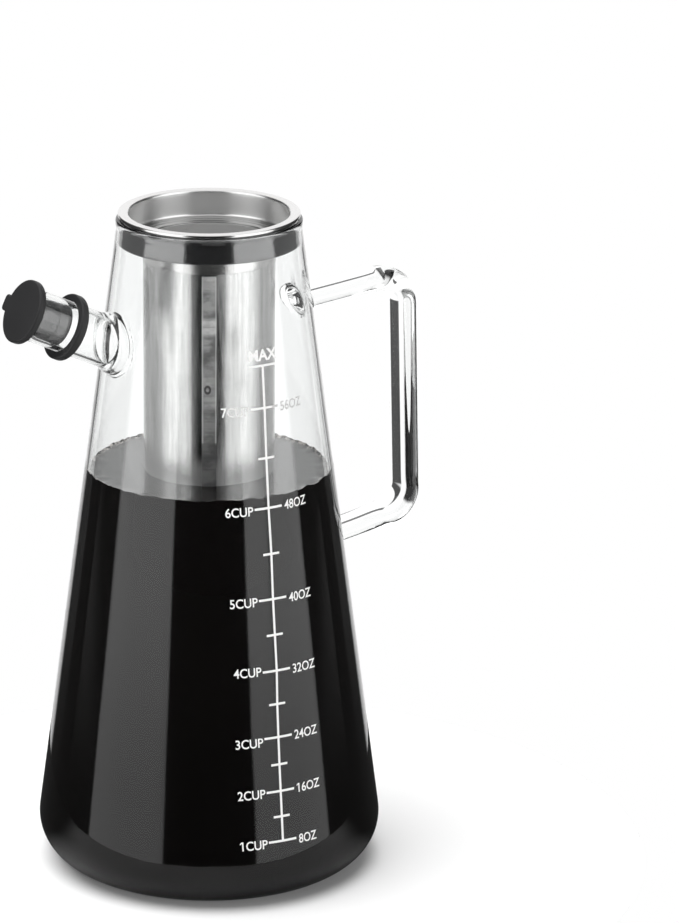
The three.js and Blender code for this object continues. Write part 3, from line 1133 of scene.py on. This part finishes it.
class COFFEEMAKER_OT_stopper(bpy.types.Operator):
    """Build the stopper: a grooved plug under a round cap with a pull tab"""

    bl_idname = "coffeemaker.stopper"
    bl_label = "Spout Stopper"

    def execute(self, context):
        settings = context.scene.coffeemaker_silicone
        face = SPOUT_REACH + FIT
        radius, groove = SPOUT_BORE - FIT, face - 8.9
        profile = [
            (0.0, face - 14.0, 0), (4.4, face - 14.0, 0.5),
            (5.0, face - 15.0, 0.4), (radius, face - 15.0, 0.9),
            (radius, groove - 0.4, 0.15), (radius - 0.5, groove - 0.4, 0),
            (radius - 0.5, groove + 0.4, 0), (radius, groove + 0.4, 0.15),
            (radius, face - 0.3, 0.1), (0.0, face - 0.3, 0),
        ]
        plug_shell = turned(rounded(profile, 5, closed=False), 96, closed=False)
        plug = as_object("grooved_plug", on_spout(plug_shell))
        gloss = silicone_material("plug_silicone", settings, (0.16, 0.22), 0.9, ior=1.9)
        placed(plug, "stopper", [gloss], ("stopper_plug",), 45.0)
        cap = as_object("stopper_disc", on_spout(self.cap(face)))
        matt = silicone_material("cap_silicone", settings, (0.5, 0.62), 1.3)
        placed(cap, "stopper", [matt], ("stopper_cap",), 45.0)
        plug.visible_glossy = cap.visible_glossy = False
        return {"FINISHED"}

    def cap(self, face):
        """A disc with a tab, its edges rounded by stacked outlines."""
        edge, thick = 0.8, 3.0
        levels = arc((edge, edge), edge, edge, -math.pi / 2, -math.pi, 6)
        levels += [(inset, thick - height) for inset, height in reversed(levels)]
        rings = []
        for inset, height in levels:
            outline = self.outline(12.3 - inset, 3.2 - inset, 15.1 - inset)
            rings.append([(x, y, face + height) for x, y in outline])
        return swept(rings)

    def outline(self, radius, half, reach):
        """The cap's round outline with its tab towards its own +Y."""
        join = math.asin(half / radius)
        disc = arc((0, 0), radius, radius, math.pi / 2 + join, 2.5 * math.pi - join, 80)
        soft = min(1.2, half * 0.6)
        tab = arc((half - soft, reach - soft), soft, soft, 0, math.pi / 2, 6)
        return disc + tab + [(-x, y) for x, y in reversed(tab)]


# ---- Stage


def softbox_world(settings):
    """A world with a white back, two softboxes in front and a dark room behind them.

    Clear glass shows white with dark upright fins between the eight main directions, which draw
    its edges. Turns are in degrees from the front, and heights run from -1 to 1."""
    tree = Tree(bpy.data.worlds.new("studio"))
    x, y, z = tree.axes(tree.node("ShaderNodeTexCoord", output="Generated"))
    towards, aside = frontwards(x, y), sideways(x, y)
    turn = abs(aside.bearing(towards)) * DEGREES
    direct, diffuse = tree.ray("Is Camera Ray"), tree.ray("Is Diffuse Ray")
    through, crossed = tree.ray("Is Transmission Ray"), tree.ray("Transmission Depth")
    bounced = tree.ray("Glossy Depth").above(0.5).most(tree.ray("Diffuse Depth").above(0.5))
    glass_only = through * bounced * crossed.below(3.5)
    straight = through * (1 - bounced)

    # What steel, silicone and the floor see
    boxes = turn.band(29.5, 32.5, 86.0, 89.0)
    boxes = boxes * through.scaled(settings.softbox, settings.inner_softbox)
    inner = through * (1 - glass_only)
    flank = turn.rises(86.0, 89.0) * inner.scaled(settings.flank, settings.inner_flank)
    back = turn.rises(150.0, 157.0)
    around = boxes + flank * (1 - back) + back + settings.room
    ceiling = z.rises(0.70, 0.86)
    lit = around * (1 - ceiling) + ceiling * settings.ceiling
    fill = z.rises(0.15, 0.45).scaled(settings.side_fill, settings.ambient)
    matt = 1 + diffuse * (fill - 1)

    # What glass shows of what lies behind its reflections
    spokes = (y.bearing(x) * 8.0).cosine()
    low = z.band(-0.52, -0.44, -0.10, -0.04)
    rim = turn.band(154.0, 157.0, 168.0, 171.0)
    edge = low * rim.most(spokes.rises(0.35, 0.65) * turn.below(58.0))
    wall = z.rises(-0.21, -0.17).most(turn.above(118.0))
    wall = wall * turn.below(136.0) * z.falls(0.35, 0.5)
    in_glass = (1 - edge * 0.93) * (1 - wall) + lit * wall

    # What is seen straight through clear glass
    fins = spokes.falls(-0.35, -0.05) * turn.below(118.0)
    solid = 1 - crossed.above(2.5)
    off_back = (aside * -1).bearing(towards * -1) * DEGREES
    card = off_back.band(-31.0, -28.0, 0.5, 2.5) * z.band(-0.38, -0.35, -0.26, -0.22)
    panel = 1.06 + turn.falls(171.0, 178.0) * 0.2
    clear = panel * (1 - fins.most(card * solid) * 0.93)

    seen = lit * matt * (1 - straight) * (1 - glass_only) + in_glass * glass_only + clear * straight
    level = seen * (1 - direct) + direct
    sockets = {"Color": grey(1.0), "Strength": level}
    return tree.finished(sockets, "ShaderNodeBackground", "ShaderNodeOutputWorld")


def floor_material(settings):
    """Pale floor, a little brighter to the eye, and dark behind the carafe in reflections."""
    tree, spot = painted("pale_floor")
    x, y, _ = tree.axes(spot)
    seen = tree.ray("Is Camera Ray").most(tree.ray("Is Transmission Ray"))
    front = frontwards(x, y).rises(-0.01, 0.045)
    grain = tree.noise(spot, 8.0, 2.0)
    shade = settings.floor_shade
    plain = tree.mixed(grain, grey(shade * 0.99), grey(shade))
    mirrored = tree.mixed(front, grey(0.03), grey(0.45))
    return tree.finished({
        "Roughness": 0.9,
        "Specular IOR Level": 0.0,
        "Emission Strength": 1.0,
        "Base Color": tree.mixed(tree.ray("Is Glossy Ray"), plain, mirrored),
        "Emission Color": tree.mixed(seen, grey(0.0), grey(0.06)),
    })


class COFFEEMAKER_OT_stage(bpy.types.Operator):
    """Set up the floor, the light and the camera"""

    bl_idname = "coffeemaker.stage"
    bl_label = "Stage"

    def execute(self, context):
        scene = context.scene
        settings = scene.coffeemaker_stage
        disc = [(radius, -0.1) for radius in (0.0, 60.0, 100.0, 170.0)]
        floor = as_object("floor", turned(disc, 96, closed=False))
        for face in floor.data.polygons:
            if face.normal.z < 0:
                face.flip()
        floor.data.materials.append(floor_material(settings))
        scene.world = softbox_world(settings)
        scene.view_settings.view_transform = "Standard"

        light = bpy.data.lights.new("overhead_panel", "AREA")
        light.shape = "DISK"
        light.size = LAMP_WIDTH
        light.energy = settings.overhead
        lamp = in_scene("overhead_panel", light)
        lamp.location = LAMP_PLACE
        aim = Vector(LAMP_AIM) - lamp.location
        lamp.rotation_euler = aim.to_track_quat("-Z", "Y").to_euler()
        lamp.visible_glossy = lamp.visible_transmission = False

        data = bpy.data.cameras.new("photo_camera")
        data.lens = CAMERA_LENS
        data.shift_x = CAMERA_SHIFT
        data.clip_start = 0.05
        data.clip_end = 50
        scene.camera = in_scene("photo_camera", data)
        scene.camera.location = CAMERA_PLACE
        tilt, turn = math.radians(90 - CAMERA_PITCH), math.radians(CAMERA_BEARING)
        scene.camera.rotation_euler = (tilt, 0, turn)
        return {"FINISHED"}


class COFFEEMAKER_PT_pieces(bpy.types.Panel):
    """The coffee maker's pieces and their settings"""

    bl_label = "Coffee Maker"
    bl_idname = "COFFEEMAKER_PT_pieces"
    bl_space_type = "VIEW_3D"
    bl_region_type = "UI"
    bl_category = "Coffee Maker"

    def draw(self, context):
        for operator, group in STEPS:
            box = self.layout.box()
            box.operator(operator.bl_idname)
            settings = getattr(context.scene, group)
            for name in settings.bl_rna.properties.keys():
                if name not in ("rna_type", "name"):
                    box.prop(settings, name)


SETTINGS = {
    "coffeemaker_glass": GlassSettings,
    "coffeemaker_coffee": CoffeeSettings,
    "coffeemaker_scale": ScaleSettings,
    "coffeemaker_steel": SteelSettings,
    "coffeemaker_silicone": SiliconeSettings,
    "coffeemaker_stage": StageSettings,
}

STEPS = (
    (COFFEEMAKER_OT_glass, "coffeemaker_glass"),
    (COFFEEMAKER_OT_coffee, "coffeemaker_coffee"),
    (COFFEEMAKER_OT_scale, "coffeemaker_scale"),
    (COFFEEMAKER_OT_collar, "coffeemaker_steel"),
    (COFFEEMAKER_OT_seal, "coffeemaker_silicone"),
    (COFFEEMAKER_OT_basket, "coffeemaker_steel"),
    (COFFEEMAKER_OT_ring, "coffeemaker_silicone"),
    (COFFEEMAKER_OT_stopper, "coffeemaker_silicone"),
    (COFFEEMAKER_OT_stage, "coffeemaker_stage"),
)


def register():
    for name, group in SETTINGS.items():
        bpy.utils.register_class(group)
        setattr(bpy.types.Scene, name, PointerProperty(type=group))
    for operator, _ in STEPS:
        bpy.utils.register_class(operator)
    bpy.utils.register_class(COFFEEMAKER_PT_pieces)


def unregister():
    bpy.utils.unregister_class(COFFEEMAKER_PT_pieces)
    for operator, _ in reversed(STEPS):
        bpy.utils.unregister_class(operator)
    for name, group in reversed(SETTINGS.items()):
        delattr(bpy.types.Scene, name)
        bpy.utils.unregister_class(group)


def corners(bounds):
    return [[float(part) for part in corner] for corner in bounds]


def main():
    register()
    for operator, _ in STEPS:
        group, name = operator.bl_idname.split(".")
        getattr(getattr(bpy.ops, group), name)()


if __name__ == "__main__":
    main()
